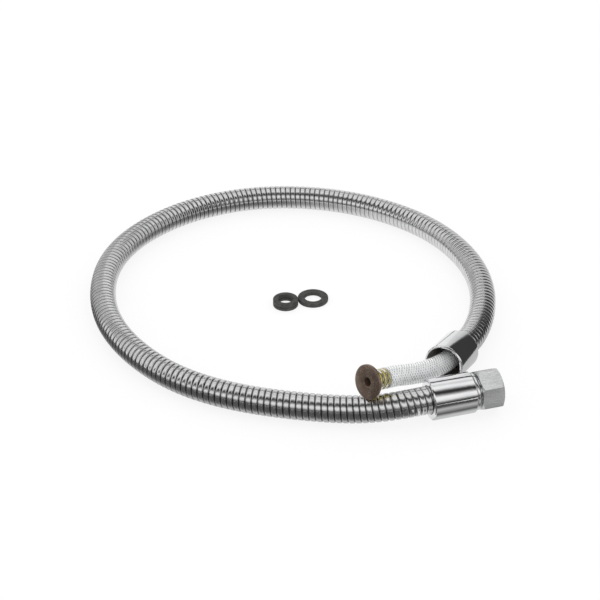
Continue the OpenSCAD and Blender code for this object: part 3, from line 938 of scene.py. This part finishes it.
toward = node(tree, "VectorMath", {0: node(tree, "TexCoord").outputs["Object"]},
              operation="NORMALIZE")
parts = node(tree, "SeparateXYZ", {0: toward.outputs[0]}).outputs
back = node(tree, "Math", {0: parts["Y"], 1: -1.0}, operation="MULTIPLY")
height = node(tree, "Math", {0: parts["Z"], 1: back.outputs[0]}, operation="ARCTAN2")
share = node(tree, "Math", {0: height.outputs[0], 1: math.pi}, operation="DIVIDE").outputs[0]
strips = ramp(tree, share, [(at / 180, value / TENT_GAIN) for at, value in STRIPS])
tree.links.new(strips, glow.inputs["Color"])
tent_points, tent_faces = [], []
for i in range(TENT_UP + 1):
    e = math.radians(TENT_FROM + TENT_SPAN * i / TENT_UP)
    for k in range(TENT_ROUND):
        q = 2 * math.pi * k / TENT_ROUND
        tent_points.append((TENT_R * math.cos(e) * math.cos(q), TENT_R * math.cos(e) * math.sin(q),
                            TENT_R * math.sin(e)))
for i in range(TENT_UP):
    row, row2 = i * TENT_ROUND, (i + 1) * TENT_ROUND
    for k in range(TENT_ROUND):
        k2 = (k + 1) % TENT_ROUND
        tent_faces.append((row + k, row + k2, row2 + k2, row2 + k))
tent = stage_mesh("tent", tent_points, tent_faces, tent_finish)

# Painted shadow and shade: glowing cards on the floor beside the hose, seen only in the metal's
# reflections, which paint the hose's own shadow on the floor and a darker floor farther out.


def reflected_shade_card(name, line, runs, radius, height, stops, side_sign, fade=None):
    """A flat card of painted shadow on one side of a line, graded by its distance in radii.

    fade is a list of (run along the line, how far the card has faded to white there).
    """
    finish, tree, glow, _ = emission_material(name, 1.0)
    far = node(tree, "Attribute", attribute_name="far").outputs["Fac"]
    reach = stops[-1][0]
    shade = ramp(tree, node(tree, "Math", {0: far, 1: reach}, operation="DIVIDE").outputs[0],
                 [(at / reach, value) for at, value in stops])
    gone = node(tree, "Attribute", attribute_name="gone").outputs["Fac"]
    mixed = node(tree, "Mix", {0: gone, 6: shade, 7: (1, 1, 1, 1)}, data_type="RGBA")
    tree.links.new(mixed.outputs[2], glow.inputs["Color"])
    offsets = [side_sign * q for q, _ in stops]
    centre, side, _ = line(np.asarray(runs, float))
    side = side * [1, 1, 0]
    points = centre[:, None, :] + np.array(offsets)[None, :, None] * radius * side[:, None, :]
    points[:, :, 2] = height
    n, m = len(runs), len(offsets)
    faces = [(i * m + j, (i + 1) * m + j, (i + 1) * m + j + 1, i * m + j + 1)
             for i in range(n - 1) for j in range(m - 1)]
    made = stage_mesh(name, (points.reshape(-1, 3) * MM).tolist(), faces, finish)
    mark_points(made, "far", np.abs(np.tile(offsets, n)))
    if fade:
        mark_points(made, "gone", np.repeat(np.interp(runs, *zip(*fade)), m))
    return made


def past(at, direction, back, front):
    """The straight line through a fitting, from behind its origin to in front of it."""
    return Line([at - back * direction, at + front * direction])


length = armour_line.length
by_inlet = past(INLET_AT, INLET_DIR, 8, 62)
by_inlet_far = past(INLET_AT, INLET_DIR, 80, 140)
by_outlet = past(OUTLET_AT, OUTLET_DIR, 90, 34)
hidden = [
    tent,
    # Near the hose the stops paint its own shadow on the floor; farther out they paint a darker
    # floor.
    reflected_shade_card("armour_reflected_shade", armour_line, np.linspace(12, 0.5 * length, 40), ARMOUR_R, 0.02,
                [(0.5, 0.6), (1.0, 0.6), (1.12, 0.45), (1.35, 0.26), (1.6, 0.14), (2.4, 0.12),
                 (9.0, 0.11)], 1, fade=[(0.36 * length, 0), (0.5 * length, 1)]),
    reflected_shade_card("back_reflected_shade", armour_line, np.linspace(0.38 * length, 0.74 * length, 40), ARMOUR_R,
                0.02, [(1.0, 0.7), (1.5, 0.42), (2.1, 0.2), (7.0, 0.17), (9.0, 0.5)], -1,
                fade=[(0.38 * length, 1), (0.46 * length, 0), (0.62 * length, 0),
                      (0.74 * length, 1)]),
    reflected_shade_card("front_reflected_shade", armour_line, np.linspace(12, 0.3 * length, 30), ARMOUR_R, 0.015,
                [(8.8, 0.11), (45.0, 0.08)], 1),
    reflected_shade_card("inlet_reflected_shade", by_inlet, [0, by_inlet.length], COLLAR_R, 0.05,
                [(0.3, 0.66), (1.0, 0.66), (1.12, 0.42), (1.43, 0.10), (1.86, 0.3), (2.64, 0.55),
                 (3.6, 0.40), (5.2, 0.09), (40.0, 0.07)], -1),
    reflected_shade_card("inlet_far_reflected_shade", by_inlet_far, [0, by_inlet_far.length], COLLAR_R, 0.025,
                [(4.2, 0.09), (45.0, 0.07)], -1),
    reflected_shade_card("outlet_reflected_shade", by_outlet, [0, by_outlet.length], COLLAR_R, 0.035,
                [(0.5, 0.6), (2.9, 0.6), (3.3, 0.06), (30.0, 0.045)], 1)]


def reflection_board(name, x, low, high, lean, stops):
    """A glowing board standing at x, from one (y, height) to another, with its brightness by y -
    lean z; it lights nothing and paints a darker patch into the metal's reflections.
    """
    finish, tree, glow, _ = emission_material(name, 1.0)
    at = node(tree, "SeparateXYZ", {0: node(tree, "TexCoord").outputs["Object"]}).outputs
    by = node(tree, "Math", {0: at["Z"], 1: -lean, 2: at["Y"]}, operation="MULTIPLY_ADD").outputs[0]
    tree.links.new(ramp(tree, by, stops), glow.inputs["Color"])
    (y0, h0), (y1, h1) = low, high
    return stage_mesh(name, [(x, y0, 0), (x, y1, 0), (x, y1, h1), (x, y0, h0)],
                      [(0, 1, 2, 3)], finish)


# Painted reflections: a dark board on the right and a grey one on the left, seen only in the metal.
hidden += [
    reflection_board("right_reflection_board", 0.13, (-0.05, 0.16), (0.85, 0.42), 0.85,
               [(0.0, 0.05), (0.035, 0.05), (0.055, 0.16), (0.08, 0.62), (0.2, 0.78), (0.85, 0.9)]),
    reflection_board("left_reflection_board", -0.28, (0.08, 0.05), (0.9, 0.45), 0, [(0.08, 0.5), (0.9, 0.5)])]
for made in hidden:
    made.visible_camera = False
    made.visible_diffuse = False
    made.visible_transmission = False
    made.visible_shadow = False

world = bpy.data.worlds.new("studio")
world.use_nodes = True
world.node_tree.nodes["Background"].inputs["Color"].default_value = (1, 1, 1, 1)
world.node_tree.nodes["Background"].inputs["Strength"].default_value = 1.0
bpy.context.scene.world = world
